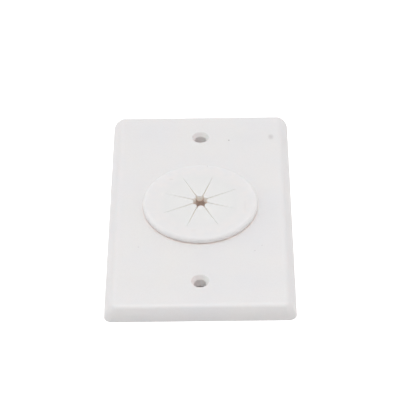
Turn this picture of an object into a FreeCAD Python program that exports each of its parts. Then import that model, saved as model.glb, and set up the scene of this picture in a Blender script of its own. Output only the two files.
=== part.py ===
# Grommet wall plate: a one-gang plate with a soft finger grommet snapped into its middle.
# Lengths are millimetres and angles are degrees. X runs across the plate, Y up the plate and Z out
# of the wall. The origin is the middle of the plate's back, on the wall.

import FreeCAD
import Part
import Sketcher
import math
import os

# Driving dimensions, one row of the sheet each
SIZES = {
    # Plate, outside
    "plate_width": 69.85,
    "plate_height": 114.3,
    "plate_depth": 5.5,
    "side_bow": 9.0,
    "side_lean": 82.0,
    "corner_round": 3.0,
    "face_round": 2.4,
    # Plate, moulded hollow behind the face
    "front_wall": 2.2,
    "rim_wall": 2.0,
    "core_corner": 1.5,
    "core_bevel": 0.5,
    # Screw holes and the bosses around them
    "screw_spacing": 83.34,
    "screw_hole": 4.5,
    "sink_width": 6.75,
    "sink_angle": 74.0,
    "sink_edge": 0.08,
    "boss_width": 8.4,
    "boss_setback": 1.0,
    # Middle opening, the collar around it and the stiffening ribs
    "opening_width": 38.1,
    "collar_gap": 1.3,
    "rib_wall": 1.2,
    "rib_setback": 0.8,
    # Grommet, turned section
    "flange_lap": 2.9,
    "flange_rise": 2.6,
    "web_thickness": 2.5,
    "neck_clearance": 0.1,
    "groove_clearance": 0.05,
    "bead_overhang": 1.25,
    "bead_height": 0.65,
    "lead_in": 0.35,
    "tail_setback": 1.6,
    "sleeve_wall": 2.45,
    "bore_bevel": 0.6,
    # Grommet, fingers
    "finger_count": 8,
    "slit_turn": 26.0,
    "slit_margin": 1.4,
    "slit_mouth": 0.47,
    "slit_tail": 0.05,
    "star_width": 5.2,
    "finger_edge": 0.12,
}

# Spare stock past each end of a block, which its end cuts take off
END_STOCK = 1.0
# How far past the middle each finger cut reaches, as a share of the hole between the fingertips
HUB_REACH = 0.4
# Least distance that tells one edge from another
NEAR = 0.01
# Property that holds the size of each kind of softened edge
EDGE_SIZE = {"Fillet": "Radius", "Chamfer": "Size"}

# Point numbers of a sketch element, and the element numbers of a sketch's origin and axes
START = 1
END = 2
CENTRE = 3
ORIGIN = -1
ACROSS = -1
UPWARD = -2


class Size:
    """A value together with the formula over the sheet that gives it."""

    def __init__(self, value, formula):
        self.value = value
        self.formula = formula

    def __add__(self, other):
        other = as_size(other)
        return Size(self.value + other.value, f"({self.formula} + {other.formula})")

    def __sub__(self, other):
        other = as_size(other)
        return Size(self.value - other.value, f"({self.formula} - {other.formula})")

    def __mul__(self, other):
        other = as_size(other)
        return Size(self.value * other.value, f"({self.formula} * {other.formula})")

    def __truediv__(self, other):
        other = as_size(other)
        return Size(self.value / other.value, f"({self.formula} / {other.formula})")

    def __neg__(self):
        return Size(-self.value, f"(-1 * {self.formula})")


def as_size(item):
    """Take a plain number as a size whose formula is that number."""
    return item if isinstance(item, Size) else Size(float(item), f"{item}")


def sine(angle):
    return Size(math.sin(math.radians(angle.value)), f"sin({angle.formula})")


def cosine(angle):
    return Size(math.cos(math.radians(angle.value)), f"cos({angle.formula})")


def fill_sheet(document):
    """Write the driving dimensions to the sheet and return each as a Size."""
    sheet = document.addObject("Spreadsheet::Sheet", "sizes")
    for row, (alias, value) in enumerate(SIZES.items(), start=1):
        sheet.set(f"A{row}", alias)
        sheet.set(f"B{row}", f"{value}")
        sheet.setAlias(f"B{row}", alias)
    document.recompute()
    return {alias: Size(float(sheet.get(alias)), f"sizes.{alias}") for alias in SIZES}


def bind(feature, name, size):
    """Tie a property of a feature to the sheet."""
    feature.setExpression(name, as_size(size).formula)


def new_body(document, label):
    body = document.addObject("PartDesign::Body", label)
    body.Label = label
    return body


def origin_item(body, role):
    """Find one of a body's own planes or axes."""
    return next(item for item in body.Origin.OriginFeatures if item.Role == role)


def new_sketch(body, name, role, rise=None):
    """Start a sketch on one of the body's planes, lifted off it by a rise where one is given."""
    sketch = body.newObject("Sketcher::SketchObject", name)
    sketch.AttachmentSupport = [(origin_item(body, role), "")]
    sketch.MapMode = "FlatFace"
    if rise is not None:
        bind(sketch, "AttachmentOffset.Base.z", rise)
    return sketch


def add_feature(body, kind, name, **properties):
    """Add a solid feature, set its properties and make it the body's tip."""
    feature = body.newObject(f"PartDesign::{kind}", name)
    for key, value in properties.items():
        setattr(feature, key, value)
    body.Tip = feature
    return feature


def dimension(sketch, kind, element, size):
    """Give an element a radius or a diameter from the sheet."""
    index = sketch.addConstraint(Sketcher.Constraint(kind, element, size.value))
    bind(sketch, f"Constraints[{index}]", size)


def place(sketch, element, point, across=None, upward=None):
    """Fix how far a point lies across and up from the sketch's origin."""
    for kind, size in (("DistanceX", across), ("DistanceY", upward)):
        if size is None:
            continue
        ends = (ORIGIN, START, element, point)
        if size.value < 0:
            ends = (element, point, ORIGIN, START)
            size = -size
        index = sketch.addConstraint(Sketcher.Constraint(kind, *ends, size.value))
        bind(sketch, f"Constraints[{index}]", size)


def join(sketch, *pairs):
    """Make the ends of sketch elements meet."""
    for first, first_point, second, second_point in pairs:
        sketch.addConstraint(Sketcher.Constraint("Coincident", first, first_point, second, second_point))


def align(sketch, kind, *elements):
    """Make lines horizontal or vertical."""
    for element in elements:
        sketch.addConstraint(Sketcher.Constraint(kind, element))


def add_line(sketch, start, end):
    """Draw a line between two points given as pairs of sizes or numbers."""
    points = [FreeCAD.Vector(*(as_size(item).value for item in pair), 0) for pair in (start, end)]
    return sketch.addGeometry(Part.LineSegment(*points), False)


def add_arc(sketch, centre, radius, first_angle, last_angle):
    """Draw an arc, counter-clockwise from its first angle to its last."""
    middle = FreeCAD.Vector(centre[0].value, centre[1].value, 0)
    circle = Part.Circle(middle, FreeCAD.Vector(0, 0, 1), radius.value)
    arc = Part.ArcOfCircle(circle, math.radians(first_angle), math.radians(last_angle))
    return sketch.addGeometry(arc, False)


def add_circle(sketch, across, upward, diameter):
    """Draw a circle and tie its place and diameter to the sheet."""
    middle = FreeCAD.Vector(across.value, upward.value, 0)
    circle = sketch.addGeometry(Part.Circle(middle, FreeCAD.Vector(0, 0, 1), diameter.value / 2), False)
    if across.value == 0 and upward.value == 0:
        join(sketch, (circle, CENTRE, ORIGIN, START))
    elif across.value == 0:
        sketch.addConstraint(Sketcher.Constraint("PointOnObject", circle, CENTRE, UPWARD))
        place(sketch, circle, CENTRE, upward=upward)
    else:
        place(sketch, circle, CENTRE, across, upward)
    dimension(sketch, "Diameter", circle, diameter)


def add_rectangle(sketch, left, bottom, right, top):
    """Draw a rectangle and tie its four sides to the sheet."""
    corners = ((left, bottom), (right, bottom), (right, top), (left, top))
    first = [add_line(sketch, corners[side], corners[(side + 1) % 4]) for side in range(4)][0]
    join(sketch, *((first + side, END, first + (side + 1) % 4, START) for side in range(4)))
    align(sketch, "Horizontal", first, first + 2)
    align(sketch, "Vertical", first + 1, first + 3)
    place(sketch, first, START, left, bottom)
    place(sketch, first + 2, START, right, top)


def soften_edges(body, name, kind, reach, choose):
    """Round or bevel the edges of the body's tip that a rule chooses."""
    body.Document.recompute()
    base = body.Tip
    names = [f"Edge{number}" for number, edge in enumerate(base.Shape.Edges, start=1) if choose(edge)]
    finish = add_feature(body, kind, name)
    finish.Base = (base, names)
    bind(finish, EDGE_SIZE[kind], reach)


def bow(size, half_length, offset, top):
    """Arc of a bowed side: its centre, its radius, and the angles of its foot and its head."""
    centre = (half_length - size["side_bow"] * sine(size["side_lean"]),
              -(size["side_bow"] * cosine(size["side_lean"])))
    radius = size["side_bow"] - offset
    foot = math.degrees(math.asin(-centre[1].value / radius.value))
    head = math.degrees(math.asin((top.value - centre[1].value) / radius.value))
    return centre, radius, foot, head


def arc_point(centre, radius, angle):
    """Point on an arc, as plain numbers."""
    turn = math.radians(angle)
    return centre[0].value + radius.value * math.cos(turn), centre[1].value + radius.value * math.sin(turn)


def bowed_block(body, size, offset, top, corner):
    """Block with four bowed sides that meet in mitres with rounded corners.

    The offset takes the sides in from the outside of the plate, so the same block makes the plate
    and the hollow in its back.
    """
    half_width = size["plate_width"] / 2
    half_height = size["plate_height"] / 2
    centre, radius, foot, head = bow(size, half_width, offset, top)
    foot_x = arc_point(centre, radius, foot)[0]
    head_x, head_z = arc_point(centre, radius, head)

    # Section across the plate: base, right side, face, left side
    section = new_sketch(body, f"{body.Label}_section", "XZ_Plane")
    base = add_line(section, (-foot_x, 0), (foot_x, 0))
    right = add_arc(section, centre, radius, foot, head)
    face = add_line(section, (head_x, head_z), (-head_x, head_z))
    left = add_arc(section, (-centre[0], centre[1]), radius, 180 - head, 180 - foot)
    join(section, (base, END, right, START), (right, END, face, START),
         (face, END, left, START), (left, END, base, START))
    section.addConstraint(Sketcher.Constraint("PointOnObject", base, START, ACROSS))
    for line in (base, face):
        section.addConstraint(Sketcher.Constraint("Symmetric", line, START, line, END, UPWARD))
    section.addConstraint(Sketcher.Constraint("Equal", right, left))
    place(section, right, CENTRE, *centre)
    dimension(section, "Radius", right, radius)
    place(section, face, START, upward=top)
    bar = add_feature(body, "Pad", f"{body.Label}_bar", Profile=section, SideType="Symmetric")
    bind(bar, "Length", size["plate_height"] + 2 * END_STOCK)

    # End cut along the plate, and its mirror image
    centre, radius, foot, head = bow(size, half_height, offset, top)
    outside = half_height + END_STOCK
    foot_y = arc_point(centre, radius, foot)[0]
    head_y, head_z = arc_point(centre, radius, head)
    trim = new_sketch(body, f"{body.Label}_end_profile", "YZ_Plane")
    side = add_arc(trim, centre, radius, foot, head)
    above = add_line(trim, (head_y, head_z), (outside, head_z))
    beyond = add_line(trim, (outside, head_z), (outside, 0))
    below = add_line(trim, (outside, 0), (foot_y, 0))
    join(trim, (side, END, above, START), (above, END, beyond, START),
         (beyond, END, below, START), (below, END, side, START))
    align(trim, "Horizontal", above, below)
    align(trim, "Vertical", beyond)
    trim.addConstraint(Sketcher.Constraint("PointOnObject", below, START, ACROSS))
    place(trim, side, CENTRE, *centre)
    dimension(trim, "Radius", side, radius)
    place(trim, above, START, upward=top)
    place(trim, beyond, START, across=outside)
    end_cut = add_feature(body, "Pocket", f"{body.Label}_end_cut",
                          Profile=trim, Type="ThroughAll", SideType="Symmetric")
    both_ends = add_feature(body, "Mirrored", f"{body.Label}_both_ends", Originals=[end_cut])
    both_ends.MirrorPlane = (origin_item(body, "XZ_Plane"), [""])

    soften_edges(body, f"{body.Label}_corners", "Fillet", corner, lambda line: line.BoundBox.ZLength > NEAR)


def make_wall_plate(document, size):
    """Plate, hollow behind, with screw bosses, a collar round the opening, and ribs."""
    hollow_depth = size["plate_depth"] - size["front_wall"]
    half_spacing = size["screw_spacing"] / 2
    half_rib = size["rib_wall"] / 2
    rib_depth = hollow_depth - size["rib_setback"]
    face_level = size["plate_depth"].value
    collar_radius = size["opening_width"] / 2 + size["bead_overhang"] + size["collar_gap"]

    core = new_body(document, "plate_core")
    bowed_block(core, size, size["rim_wall"], hollow_depth, size["core_corner"])
    soften_edges(core, "core_edge", "Chamfer", size["core_bevel"],
                 lambda line: line.BoundBox.ZMin > hollow_depth.value - NEAR)

    plate = new_body(document, "wall_plate")
    bowed_block(plate, size, as_size(0), size["plate_depth"], size["corner_round"])
    soften_edges(plate, "face_edge", "Fillet", size["face_round"],
                 lambda line: line.BoundBox.ZMin > face_level - NEAR)
    document.recompute()
    hollow = add_feature(plate, "Boolean", "hollow", Type="Cut")
    hollow.setObjects([core])

    # Bosses around the screws, a little short of the wall
    boss_sketch = new_sketch(plate, "boss_circles", "XY_Plane", size["boss_setback"])
    for place_along in (half_spacing, -half_spacing):
        add_circle(boss_sketch, as_size(0), place_along, size["boss_width"])
    bosses = add_feature(plate, "Pad", "screw_bosses", Profile=boss_sketch)
    bind(bosses, "Length", hollow_depth - size["boss_setback"])

    # Collar around the grommet's bead
    collar_sketch = new_sketch(plate, "collar_circles", "XY_Plane", size["rib_setback"])
    for radius in (collar_radius, collar_radius + size["rib_wall"]):
        add_circle(collar_sketch, as_size(0), as_size(0), radius * 2)
    collar = add_feature(plate, "Pad", "collar", Profile=collar_sketch)
    bind(collar, "Length", rib_depth)

    # Ribs up the middle, from the collar through each boss to the end walls
    collar_middle = collar_radius + half_rib
    end_reach = size["plate_height"] / 2 - size["rim_wall"]
    side_reach = size["plate_width"] / 2 - size["rim_wall"]
    long_sketch = new_sketch(plate, "long_rib_outlines", "XY_Plane", size["rib_setback"])
    add_rectangle(long_sketch, -half_rib, collar_middle, half_rib, end_reach)
    add_rectangle(long_sketch, -half_rib, -end_reach, half_rib, -collar_middle)
    long_ribs = add_feature(plate, "Pad", "long_ribs", Profile=long_sketch)
    bind(long_ribs, "Length", rib_depth)

    # Ribs across the plate, through each boss and out from the collar
    cross_sketch = new_sketch(plate, "cross_rib_outlines", "XY_Plane", size["rib_setback"])
    for along in (half_spacing, -half_spacing):
        add_rectangle(cross_sketch, -side_reach, along - half_rib, side_reach, along + half_rib)
    add_rectangle(cross_sketch, collar_middle, -half_rib, side_reach, half_rib)
    add_rectangle(cross_sketch, -side_reach, -half_rib, -collar_middle, half_rib)
    cross_ribs = add_feature(plate, "Pad", "cross_ribs", Profile=cross_sketch)
    bind(cross_ribs, "Length", rib_depth)

    # Round opening for the grommet
    opening_sketch = new_sketch(plate, "opening_circle", "XY_Plane")
    add_circle(opening_sketch, as_size(0), as_size(0), size["opening_width"])
    add_feature(plate, "Pocket", "opening", Profile=opening_sketch, Type="ThroughAll", SideType="Symmetric")

    # Countersunk screw holes through the bosses
    hole_sketch = new_sketch(plate, "screw_hole_circles", "XY_Plane", size["plate_depth"])
    for place_along in (half_spacing, -half_spacing):
        add_circle(hole_sketch, as_size(0), place_along, size["screw_hole"])
    document.recompute()
    holes = add_feature(plate, "Hole", "screw_holes", Profile=hole_sketch, DepthType="ThroughAll",
                        HoleCutType="Countersink", HoleCutCustomValues=True)
    bind(holes, "Diameter", size["screw_hole"])
    bind(holes, "HoleCutDiameter", size["sink_width"])
    bind(holes, "HoleCutCountersinkAngle", size["sink_angle"])

    sink_width = size["sink_width"].value
    soften_edges(plate, "sink_edges", "Chamfer", size["sink_edge"],
                 lambda line: line.BoundBox.ZMin > face_level - NEAR
                 and abs(line.BoundBox.XLength - sink_width) < NEAR)
    return plate


def make_grommet(document, size):
    """Soft one-piece grommet: flange, neck, snap bead and sleeve, with a web cut into fingers.

    Its own origin is on its axis where the flange seats, and it is placed on the plate's face.
    """
    opening_radius = size["opening_width"] / 2
    flange_round = size["flange_rise"] / 2
    flange_radius = opening_radius + size["flange_lap"]
    neck_radius = opening_radius - size["neck_clearance"]
    bead_radius = opening_radius + size["bead_overhang"]
    bore_radius = neck_radius - size["sleeve_wall"]
    tail_radius = neck_radius - size["lead_in"]
    top = size["flange_rise"]
    groove = -(size["front_wall"] + size["groove_clearance"])
    bead_foot = groove - size["bead_height"]
    tail = size["tail_setback"] - size["plate_depth"]
    web_under = top - size["web_thickness"]

    grommet = new_body(document, "grommet")
    section = new_sketch(grommet, "grommet_section", "XZ_Plane")
    level = as_size(0)
    round_centre = flange_radius - flange_round
    face = add_line(section, (level, top), (round_centre, top))
    bullnose = add_arc(section, (round_centre, flange_round), flange_round, -90, 90)
    seat = add_line(section, (round_centre, level), (neck_radius, level))
    neck = add_line(section, (neck_radius, level), (neck_radius, groove))
    shoulder = add_line(section, (neck_radius, groove), (bead_radius, groove))
    bead = add_line(section, (bead_radius, groove), (bead_radius, bead_foot))
    taper = add_line(section, (bead_radius, bead_foot), (tail_radius, tail))
    end = add_line(section, (tail_radius, tail), (bore_radius, tail))
    bore = add_line(section, (bore_radius, tail), (bore_radius, web_under))
    under = add_line(section, (bore_radius, web_under), (level, web_under))
    axis = add_line(section, (level, web_under), (level, top))
    section.addConstraint(Sketcher.Constraint("Tangent", face, END, bullnose, END))
    section.addConstraint(Sketcher.Constraint("Tangent", bullnose, START, seat, START))
    chain = (seat, neck, shoulder, bead, taper, end, bore, under, axis, face)
    join(section, *((first, END, second, START) for first, second in zip(chain, chain[1:])))
    align(section, "Horizontal", face, seat, shoulder, end, under)
    align(section, "Vertical", neck, bead, bore)
    section.addConstraint(Sketcher.Constraint("PointOnObject", axis, START, UPWARD))
    section.addConstraint(Sketcher.Constraint("PointOnObject", axis, END, UPWARD))
    section.addConstraint(Sketcher.Constraint("PointOnObject", seat, START, ACROSS))
    place(section, face, END, round_centre, top)
    place(section, neck, END, neck_radius, groove)
    place(section, bead, END, bead_radius, bead_foot)
    place(section, end, START, tail_radius, tail)
    place(section, bore, END, bore_radius, web_under)
    turned = add_feature(grommet, "Revolution", "turned_section", Profile=section)
    turned.ReferenceAxis = (section, ["V_Axis"])

    soften_edges(grommet, "bore_edge", "Chamfer", size["bore_bevel"],
                 lambda line: abs(line.BoundBox.XLength - 2 * bore_radius.value) < NEAR
                 and line.BoundBox.ZMin > web_under.value - NEAR)

    cut_fingers(grommet, size, bore_radius - size["slit_margin"], top)
    grommet.Placement = FreeCAD.Placement(FreeCAD.Vector(0, 0, size["plate_depth"].value),
                                          FreeCAD.Rotation(FreeCAD.Vector(0, 0, 1), size["slit_turn"].value))
    bind(grommet, "Placement.Base.z", size["plate_depth"])
    bind(grommet, "Placement.Rotation.Angle", size["slit_turn"])
    return grommet


def cut_fingers(grommet, size, slit_radius, top):
    """Cut one tapered slit with half of each fingertip beside it, repeat it round and soften the edges."""
    half_turn = as_size(180) / size["finger_count"]
    star_radius = size["star_width"] / 2
    half_mouth = size["slit_mouth"] / 2
    half_tail = size["slit_tail"] / 2
    tip_round = (star_radius * sine(half_turn) - half_mouth) / (as_size(1) - sine(half_turn))
    tip_across = (star_radius + tip_round) * cosine(half_turn)
    tip_upward = (star_radius + tip_round) * sine(half_turn)
    nose_across = star_radius * cosine(half_turn)
    nose_upward = star_radius * sine(half_turn)
    hub = -(star_radius * HUB_REACH)

    cut = new_sketch(grommet, "finger_cut", "XY_Plane", top)
    turn = half_turn.value
    lower_tip = add_arc(cut, (tip_across, -tip_upward), tip_round, 90, 180 - turn)
    lower_side = add_line(cut, (tip_across, -half_mouth), (slit_radius, -half_tail))
    closed_end = add_line(cut, (slit_radius, -half_tail), (slit_radius, half_tail))
    upper_side = add_line(cut, (slit_radius, half_tail), (tip_across, half_mouth))
    upper_tip = add_arc(cut, (tip_across, tip_upward), tip_round, 180 + turn, 270)
    inward = add_line(cut, (nose_across, nose_upward), (hub, 0))
    outward = add_line(cut, (hub, 0), (nose_across, -nose_upward))
    cut.addConstraint(Sketcher.Constraint("Tangent", lower_tip, START, lower_side, START))
    cut.addConstraint(Sketcher.Constraint("Tangent", upper_side, END, upper_tip, END))
    join(cut, (lower_side, END, closed_end, START), (closed_end, END, upper_side, START),
         (upper_tip, START, inward, START), (inward, END, outward, START),
         (outward, END, lower_tip, END))
    align(cut, "Vertical", closed_end)
    cut.addConstraint(Sketcher.Constraint("PointOnObject", inward, END, ACROSS))
    cut.addConstraint(Sketcher.Constraint("Symmetric", lower_tip, CENTRE, upper_tip, CENTRE, ACROSS))
    cut.addConstraint(Sketcher.Constraint("Equal", lower_tip, upper_tip))
    cut.addConstraint(Sketcher.Constraint("Vertical", lower_tip, END, upper_tip, START))
    place(cut, inward, END, across=hub)
    place(cut, closed_end, START, slit_radius, -half_tail)
    place(cut, closed_end, END, upward=half_tail)
    place(cut, lower_tip, CENTRE, tip_across, -tip_upward)
    dimension(cut, "Radius", lower_tip, tip_round)
    place(cut, lower_tip, END, across=nose_across)

    slit = add_feature(grommet, "Pocket", "slit", Profile=cut, Type="ThroughAll", SideType="Symmetric")
    slits = add_feature(grommet, "PolarPattern", "slits", Originals=[slit], Angle=360)
    slits.Axis = (cut, ["N_Axis"])
    bind(slits, "Occurrences", size["finger_count"])

    reach = slit_radius.value + NEAR
    soften_edges(grommet, "finger_edges", "Chamfer", size["finger_edge"],
                 lambda line: line.BoundBox.ZMin > top.value - NEAR
                 and all(math.hypot(corner.X, corner.Y) < reach for corner in line.Vertexes))


def check_and_export(document, parts):
    """Stop at a failed object or a bad shape, then write one file for each sub-part."""
    document.recompute()
    for item in document.Objects:
        if "Invalid" in item.State or "Error" in item.State:
            raise RuntimeError(f"{item.Name} did not build: {item.State}")
    for part in parts:
        if part.Shape.isNull() or not part.Shape.isValid():
            raise RuntimeError(f"{part.Label} has no valid shape")
    os.makedirs("parts", exist_ok=True)
    for part in parts:
        part.Shape.exportStep(f"parts/{part.Label}.step")
        box = part.Shape.BoundBox
        print(f"{part.Label}: {len(part.Shape.Solids)} solid, volume {part.Shape.Volume:.1f} mm3,"
              f" x {box.XMin:.2f} to {box.XMax:.2f}, y {box.YMin:.2f} to {box.YMax:.2f},"
              f" z {box.ZMin:.2f} to {box.ZMax:.2f}")


def main():
    document = FreeCAD.newDocument("grommet_wall_plate")
    size = fill_sheet(document)
    parts = [make_wall_plate(document, size), make_grommet(document, size)]
    check_and_export(document, parts)


main()
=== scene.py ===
# Looks of the grommet wall plate: camera, light, floor and the finish of each piece.
# Lengths are metres in the part's own frame: X across the plate, Y up the plate, Z out of the wall.

import math

import bpy
from mathutils import Matrix, Vector


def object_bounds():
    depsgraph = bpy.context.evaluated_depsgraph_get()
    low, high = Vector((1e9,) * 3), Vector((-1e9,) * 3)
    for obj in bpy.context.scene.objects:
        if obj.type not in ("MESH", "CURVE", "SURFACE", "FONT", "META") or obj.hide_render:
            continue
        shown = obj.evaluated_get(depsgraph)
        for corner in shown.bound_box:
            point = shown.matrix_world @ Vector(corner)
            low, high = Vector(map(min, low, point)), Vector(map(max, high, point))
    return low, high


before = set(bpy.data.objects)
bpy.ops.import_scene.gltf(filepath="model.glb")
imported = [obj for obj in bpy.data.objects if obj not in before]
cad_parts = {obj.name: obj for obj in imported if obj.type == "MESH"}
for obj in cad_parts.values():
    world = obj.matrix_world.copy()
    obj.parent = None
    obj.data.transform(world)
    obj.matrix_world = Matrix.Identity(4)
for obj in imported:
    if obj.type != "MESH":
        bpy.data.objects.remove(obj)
cad_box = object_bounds()

MM = 0.001

# Camera, as fitted to the plate's outline in the photograph
PICTURE_SIDE = 400
VIEW_AZIMUTH = math.radians(-0.969)
VIEW_ELEVATION = math.radians(40.760)
VIEW_ROLL = math.radians(1.339)
FOCAL_PIXELS = 1900.1
VIEW_DISTANCE = 735.4 * MM
VIEW_TARGET = Vector((-0.228, 9.846, 0)) * MM
VIEW_NEAREST = 0.05
VIEW_FARTHEST = 20
SENSOR_WIDTH = 36.0

# Strength of the even sky and of its brighter parts, and how far along an axis those set in and are full
SKY_EVEN = 0.38
SKY_LEFT = 0.85
SKY_RIGHT = 0.60
SKY_FAR = 0.50
SKY_SETS_IN = 0.3
SKY_FULL = 0.9

# Softbox above the object
SOFTBOX_PLACE = Vector((0, -0.08, 1.0))
SOFTBOX_SIDE = 0.9
SOFTBOX_POWER = 7.6

# White ground: its side, the glow that makes it plain white, and how far in under the plate that reaches
GROUND_SIDE = 3.0
GROUND_GLOW = 0.42
GROUND_GLOW_LAP = 3 * MM

# Share of the light that goes on through each material, and its tint
PLATE_THROUGH = 0.20
PLATE_THROUGH_TINT = (1.0, 0.87, 0.85, 1.0)
RUBBER_THROUGH = 0.38
RUBBER_THROUGH_TINT = (1.0, 0.99, 0.98, 1.0)
RUBBER_UNDERSIDE_TINT = (1.0, 0.74, 0.62, 1.0)

# Part of a noise's range that is stretched over the range wanted
NOISE_LOW = 0.3
NOISE_HIGH = 0.7

# Moulded grain: depth of its bumps, and share of a darker tint that it gives the plate
GRAIN_DEPTH = 0.01 * MM
GRAIN_TINT = 0.22

# Screw holes: distance from the middle of the plate, edge of the countersink, and its middle part
SCREW_REACH = 41.67 * MM
SINK_EDGE = (3.2 * MM, 3.5 * MM)
SINK_MIDDLE = (-2.5 * MM, 2.5 * MM)

# Distances from the grommet's axis: end of the paler tint painted on the plate under the flange's edge
# as light through the rubber's rim, edge of the web, and a faint ring of painted shade along a sink mark
# on the flange, with its half width and darkness
PAINTED_RIM_LIGHT_END = (22.0 * MM, 22.5 * MM)
WEB_EDGE = (13.5 * MM, 17.5 * MM)
FLANGE_RING = 17.3 * MM
FLANGE_RING_WIDTH = 0.8 * MM
FLANGE_RING_PAINTED_SHADE = 0.02

# Heights between which the grommet's tint changes: from the slits' walls to the top, from the underside
# of the web up, and from the part behind the wall up
SLIT_WALLS = (7.6 * MM, 8.0 * MM)
UNDERSIDE = (5.6 * MM, 6.2 * MM)
BEHIND_WALL = (4.5 * MM, 6.0 * MM)

# Marks on the plate's face: place across and up the plate, half width and half height, darkness
SMUDGES = (
    ((27.95, 41.40), (1.35, 2.10), 0.35),
    ((11.26, 39.58), (0.42, 0.42), 1.00),
    ((23.00, -22.80), (0.32, 0.36), 0.38),
    ((20.30, -25.60), (0.36, 0.36), 0.42),
    ((-23.00, -22.95), (0.30, 0.32), 0.48),
)

# Marks on the flange, given the same way: dust, and on the right a painted shade along the sink mark
FLANGE_SMUDGES_AND_CREASE_SHADE = (
    ((2.75, 20.55), (0.32, 0.36), 0.70),
    ((-11.20, 12.90), (1.20, 0.60), 0.17),
    ((-17.20, 12.10), (1.10, 0.60), 0.09),
    # Painted shade along the shallow sink mark on the flange's right side
    ((17.00, -3.90), (0.70, 4.50), 0.08),
    ((-2.40, -16.90), (1.50, 1.10), 0.08),
)

# Part of a mark's half width that is evenly dark, before it fades
SMUDGE_CORE = 0.25


def linear(red, green, blue):
    """Shader colour for a colour given in 0 to 255 as it shows in a picture."""
    channels = []
    for value in (red, green, blue):
        share = value / 255
        channels.append(share / 12.92 if share <= 0.04045 else ((share + 0.055) / 1.055) ** 2.4)
    return (*channels, 1.0)


class Nodes:
    """Short names for making and linking the nodes of one material, or of the world."""

    def __init__(self, name, world=False):
        if world:
            self.owner = bpy.context.scene.world = bpy.data.worlds.new(name)
        else:
            self.owner = bpy.data.materials.new(name)
        self.owner.use_nodes = True
        self.tree = self.owner.node_tree
        self.tree.nodes.clear()
        self.output = self.add("ShaderNodeOutputWorld" if world else "ShaderNodeOutputMaterial")

    def add(self, kind, **settings):
        node = self.tree.nodes.new(kind)
        for key, value in settings.items():
            setattr(node, key, value)
        return node

    def link(self, source, target):
        self.tree.links.new(source, target)

    def feed(self, item, socket):
        """Give a socket a constant or the output of a node."""
        if isinstance(item, (int, float, tuple)):
            socket.default_value = item
        else:
            self.link(item, socket)

    def place(self, scale):
        """Object coordinates times a scale for each axis."""
        coordinates = self.add("ShaderNodeTexCoord")
        mapping = self.add("ShaderNodeMapping")
        mapping.inputs["Scale"].default_value = scale
        self.link(coordinates.outputs["Object"], mapping.inputs["Vector"])
        return mapping.outputs["Vector"]

    def along(self, axis):
        """Object coordinate along one axis."""
        split = self.add("ShaderNodeSeparateXYZ")
        self.link(self.place((1, 1, 1)), split.inputs["Vector"])
        return split.outputs[axis]

    def distance_from(self, point, width=1, height=1):
        """Distance seen along Z from a point, counted in a half width and a half height."""
        node = self.add("ShaderNodeVectorMath", operation="DISTANCE")
        self.link(self.place((1 / width, 1 / height, 0)), node.inputs[0])
        node.inputs[1].default_value = (point[0] / width, point[1] / height, 0)
        return node.outputs["Value"]

    def noise(self, scale, detail, rough=0.5, stretch=(1, 1, 1)):
        node = self.add("ShaderNodeTexNoise")
        self.link(self.place(stretch), node.inputs["Vector"])
        node.inputs["Scale"].default_value = scale
        node.inputs["Detail"].default_value = detail
        node.inputs["Roughness"].default_value = rough
        return node.outputs["Fac"]

    def span(self, value, low, high, new_low, new_high):
        """Carry a value from one range to another, clamped."""
        node = self.add("ShaderNodeMapRange")
        self.link(value, node.inputs["Value"])
        ends = {"From Min": low, "From Max": high, "To Min": new_low, "To Max": new_high}
        for name, number in ends.items():
            node.inputs[name].default_value = number
        return node.outputs["Result"]

    def spread(self, noise, low=0, high=1):
        """Stretch the middle of a noise over a range."""
        return self.span(noise, NOISE_LOW, NOISE_HIGH, low, high)

    def math(self, operation, first, second=0.0):
        node = self.add("ShaderNodeMath", operation=operation)
        self.feed(first, node.inputs[0])
        self.feed(second, node.inputs[1])
        return node.outputs["Value"]

    def mix(self, share, first, second, kind="RGBA"):
        """Mix two colours or values by a share, each a constant or the output of a node."""
        node = self.add("ShaderNodeMix", data_type=kind)
        for name, item in (("Factor", share), ("A", first), ("B", second)):
            self.feed(item, next(s for s in node.inputs if s.name == name and s.enabled))
        return next(s for s in node.outputs if s.enabled)

    def smudge(self, tint, marks):
        """Lay a list of soft grey marks over a colour."""
        for (across, up), (width, height), darkness in marks:
            away = self.distance_from((across * MM, up * MM), width * MM, height * MM)
            tint = self.mix(self.span(away, SMUDGE_CORE, 1, darkness, 0), tint, linear(150, 143, 146))
        return tint

    def bump(self, height, distance, strength):
        node = self.add("ShaderNodeBump")
        node.inputs["Strength"].default_value = strength
        node.inputs["Distance"].default_value = distance
        self.link(height, node.inputs["Height"])
        return node.outputs["Normal"]

    def let_light_through(self, shader, share, colour):
        """Send a share of the light on through the surface, tinted by a constant or a node's output."""
        through = self.add("ShaderNodeBsdfTranslucent")
        self.feed(colour, through.inputs["Color"])
        both = self.add("ShaderNodeMixShader")
        both.inputs["Fac"].default_value = share
        self.link(shader.outputs["BSDF"], both.inputs[1])
        self.link(through.outputs["BSDF"], both.inputs[2])
        self.link(both.outputs["Shader"], self.output.inputs["Surface"])

    def seen_rays(self):
        """One for rays from the camera, gloss and clear materials, and zero for lighting."""
        rays = self.add("ShaderNodeLightPath")
        seen = self.math("MAXIMUM", rays.outputs["Is Camera Ray"], rays.outputs["Is Glossy Ray"])
        return self.math("MAXIMUM", seen, rays.outputs["Is Transmission Ray"])


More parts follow.
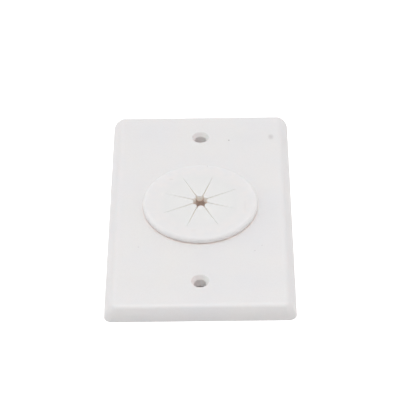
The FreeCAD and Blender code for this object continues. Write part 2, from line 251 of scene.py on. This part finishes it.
def plate_plastic():
    """Satin white moulding with a faint drift of tint, fine moulded grain and a few marks, and painted
    light: a paler tint under the flange's edge and in the countersinks.
    """
    nodes = Nodes("plate_plastic")
    shader = nodes.add("ShaderNodeBsdfPrincipled")
    nodes.let_light_through(shader, PLATE_THROUGH, PLATE_THROUGH_TINT)
    drift = nodes.spread(nodes.noise(scale=60, detail=4))
    tint = nodes.mix(drift, linear(237, 237, 236), linear(234, 235, 237))
    grain = nodes.spread(nodes.noise(scale=1500, detail=4, rough=0.65))
    tint = nodes.mix(nodes.math("MULTIPLY", grain, GRAIN_TINT), tint, linear(220, 218, 217))
    # Painted light: a paler tint on the plate under the flange's edge stands in for the light that comes
    # through the rubber's rim into its shade.
    painted_rim_light = nodes.span(nodes.distance_from((0, 0)), *PAINTED_RIM_LIGHT_END, 1, 0)
    tint = nodes.mix(painted_rim_light, tint, linear(254, 250, 248))
    # Painted light: both countersinks get their own tint, pinker and paler towards the left and greyer
    # towards the right, lifting and evening out the shade in them.
    rightward = nodes.span(nodes.along("X"), *SINK_MIDDLE, 0, 1)
    sink_painted_light_tint = nodes.mix(rightward, linear(243, 237, 237), linear(235, 238, 236))
    for up in (SCREW_REACH, -SCREW_REACH):
        sink = nodes.span(nodes.distance_from((0, up)), *SINK_EDGE, 1, 0)
        tint = nodes.mix(sink, tint, sink_painted_light_tint)
    tint = nodes.smudge(tint, SMUDGES)
    nodes.link(tint, shader.inputs["Base Color"])
    wipes = nodes.noise(scale=90, detail=3, stretch=(1, 0.2, 1))
    nodes.link(nodes.spread(wipes, 0.32, 0.40), shader.inputs["Roughness"])
    shader.inputs["IOR"].default_value = 1.5
    shader.inputs["Specular IOR Level"].default_value = 0.5
    shader.inputs["Subsurface Weight"].default_value = 0.2
    shader.inputs["Subsurface Radius"].default_value = (1.0, 0.8, 0.75)
    shader.inputs["Subsurface Scale"].default_value = 0.6 * MM
    nodes.link(nodes.bump(grain, GRAIN_DEPTH, strength=0.6), shader.inputs["Normal"])
    return nodes.owner


def grommet_rubber():
    """Matt white elastomer, a little translucent, with a soft grain; painted shade darkens the web's top
    and a sink mark, and painted warm light tints the part behind the wall.
    """
    nodes = Nodes("grommet_rubber")
    shader = nodes.add("ShaderNodeBsdfPrincipled")
    drift = nodes.spread(nodes.noise(scale=350, detail=3))
    tint = nodes.mix(drift, linear(254, 254, 255), linear(247, 250, 253))
    height = nodes.along("Z")
    under = nodes.span(height, *UNDERSIDE, 1, 0)
    through_tint = nodes.mix(under, RUBBER_THROUGH_TINT, RUBBER_UNDERSIDE_TINT)
    nodes.let_light_through(shader, RUBBER_THROUGH, through_tint)
    from_axis = nodes.distance_from((0, 0))
    # Painted shade: over the web the top is a darker, cooler white against the light shining up through
    # it; below the top, the slits' walls are a warmer white.
    top = nodes.span(height, *SLIT_WALLS, 0, 1)
    web_painted_shade_tint = nodes.mix(top, linear(255, 251, 243), linear(238, 243, 246))
    tint = nodes.mix(nodes.span(from_axis, *WEB_EDGE, 1, 0), tint, web_painted_shade_tint)
    # Painted shade: a faint darker ring along the shallow sink mark round the flange.
    from_ring = nodes.math("ABSOLUTE", nodes.math("SUBTRACT", from_axis, FLANGE_RING))
    ring = nodes.span(from_ring, 0, FLANGE_RING_WIDTH, FLANGE_RING_PAINTED_SHADE, 0)
    tint = nodes.mix(ring, tint, linear(200, 200, 200))
    # Painted light: the part behind the wall is tinted warmer, standing in for the warm light that
    # reaches it through the plastic.
    tint = nodes.mix(nodes.span(height, *BEHIND_WALL, 1, 0), tint, linear(252, 240, 230))
    tint = nodes.smudge(tint, FLANGE_SMUDGES_AND_CREASE_SHADE)
    nodes.link(tint, shader.inputs["Base Color"])
    grain = nodes.noise(scale=1400, detail=5, rough=0.65)
    nodes.link(nodes.spread(grain, 0.5, 0.62), shader.inputs["Roughness"])
    shader.inputs["IOR"].default_value = 1.5
    shader.inputs["Specular IOR Level"].default_value = 0.35
    nodes.link(nodes.bump(grain, GRAIN_DEPTH, strength=0.5), shader.inputs["Normal"])
    return nodes.owner


def white_ground():
    """White ground that keeps the object's shadow and shows as plain white where nothing shades it."""
    mesh = bpy.data.meshes.new("ground")
    half = GROUND_SIDE / 2
    corners = [(-half, -half, 0), (half, -half, 0), (half, half, 0), (-half, half, 0)]
    mesh.from_pydata(corners, [], [(0, 1, 2, 3)])
    ground = bpy.data.objects.new("ground", mesh)
    bpy.context.scene.collection.objects.link(ground)
    nodes = Nodes("ground_white")
    diffuse = nodes.add("ShaderNodeBsdfDiffuse")
    diffuse.inputs["Color"].default_value = linear(236, 236, 236)
    glow = nodes.add("ShaderNodeEmission")
    outside = []
    for axis, reach in zip("XY", cad_box[1]):
        away = nodes.math("ABSOLUTE", nodes.along(axis))
        outside.append(nodes.math("GREATER_THAN", away, reach - GROUND_GLOW_LAP))
    seen = nodes.math("MULTIPLY", nodes.seen_rays(), nodes.math("MAXIMUM", *outside))
    nodes.link(nodes.math("MULTIPLY", seen, GROUND_GLOW), glow.inputs["Strength"])
    both = nodes.add("ShaderNodeAddShader")
    nodes.link(diffuse.outputs["BSDF"], both.inputs[0])
    nodes.link(glow.outputs["Emission"], both.inputs[1])
    nodes.link(both.outputs["Shader"], nodes.output.inputs["Surface"])
    mesh.materials.append(nodes.owner)


def white_world():
    """Even light from all round, brighter at the sides and beyond the object.

    The camera, gloss and clear materials see it as plain white.
    """
    nodes = Nodes("studio", world=True)
    sky = nodes.add("ShaderNodeBackground")
    nodes.link(sky.outputs["Background"], nodes.output.inputs["Surface"])
    coordinates = nodes.add("ShaderNodeTexCoord")
    direction = nodes.add("ShaderNodeSeparateXYZ")
    nodes.link(coordinates.outputs["Generated"], direction.inputs["Vector"])
    left = nodes.span(direction.outputs["X"], -SKY_FULL, -SKY_SETS_IN, SKY_LEFT, 0)
    right = nodes.span(direction.outputs["X"], SKY_SETS_IN, SKY_FULL, 0, SKY_RIGHT)
    far = nodes.span(direction.outputs["Y"], SKY_SETS_IN, SKY_FULL, 0, SKY_FAR)
    strength = nodes.math("ADD", nodes.math("ADD", nodes.math("ADD", left, right), far), SKY_EVEN)
    nodes.link(nodes.mix(nodes.seen_rays(), strength, 1.0, kind="FLOAT"), sky.inputs["Strength"])


def overhead_softbox():
    """Large soft lamp above the object, facing it."""
    light = bpy.data.lights.new("overhead_softbox", "AREA")
    light.size = SOFTBOX_SIDE
    light.energy = SOFTBOX_POWER
    lamp = bpy.data.objects.new("overhead_softbox", light)
    lamp.location = SOFTBOX_PLACE
    lamp.rotation_euler = (-SOFTBOX_PLACE).to_track_quat("-Z", "Y").to_euler()
    bpy.context.scene.collection.objects.link(lamp)


def photo_camera():
    """Camera at the photograph's viewing angle, distance and framing."""
    ahead = Vector((math.sin(VIEW_AZIMUTH) * math.cos(VIEW_ELEVATION),
                    math.cos(VIEW_AZIMUTH) * math.cos(VIEW_ELEVATION),
                    -math.sin(VIEW_ELEVATION)))
    right = ahead.cross(Vector((0, 0, 1))).normalized()
    down = ahead.cross(right)
    rolled_right = right * math.cos(VIEW_ROLL) + down * math.sin(VIEW_ROLL)
    rolled_up = right * math.sin(VIEW_ROLL) - down * math.cos(VIEW_ROLL)
    data = bpy.data.cameras.new("photo_camera")
    data.sensor_width = SENSOR_WIDTH
    data.lens = FOCAL_PIXELS / PICTURE_SIDE * SENSOR_WIDTH
    data.clip_start = VIEW_NEAREST
    data.clip_end = VIEW_FARTHEST
    camera = bpy.data.objects.new("photo_camera", data)
    turn = Matrix((rolled_right, rolled_up, -ahead)).transposed()
    camera.matrix_world = Matrix.Translation(VIEW_TARGET - ahead * VIEW_DISTANCE) @ turn.to_4x4()
    bpy.context.scene.collection.objects.link(camera)
    bpy.context.scene.camera = camera


def dress(node, material):
    """Give a CAD node its material in every slot."""
    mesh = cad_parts[node].data
    if not mesh.materials:
        mesh.materials.append(material)
    for index in range(len(mesh.materials)):
        mesh.materials[index] = material


photo_camera()
white_world()
overhead_softbox()
white_ground()
dress("wall_plate", plate_plastic())
dress("grommet", grommet_rubber())
bpy.context.scene.view_settings.view_transform = "Standard"
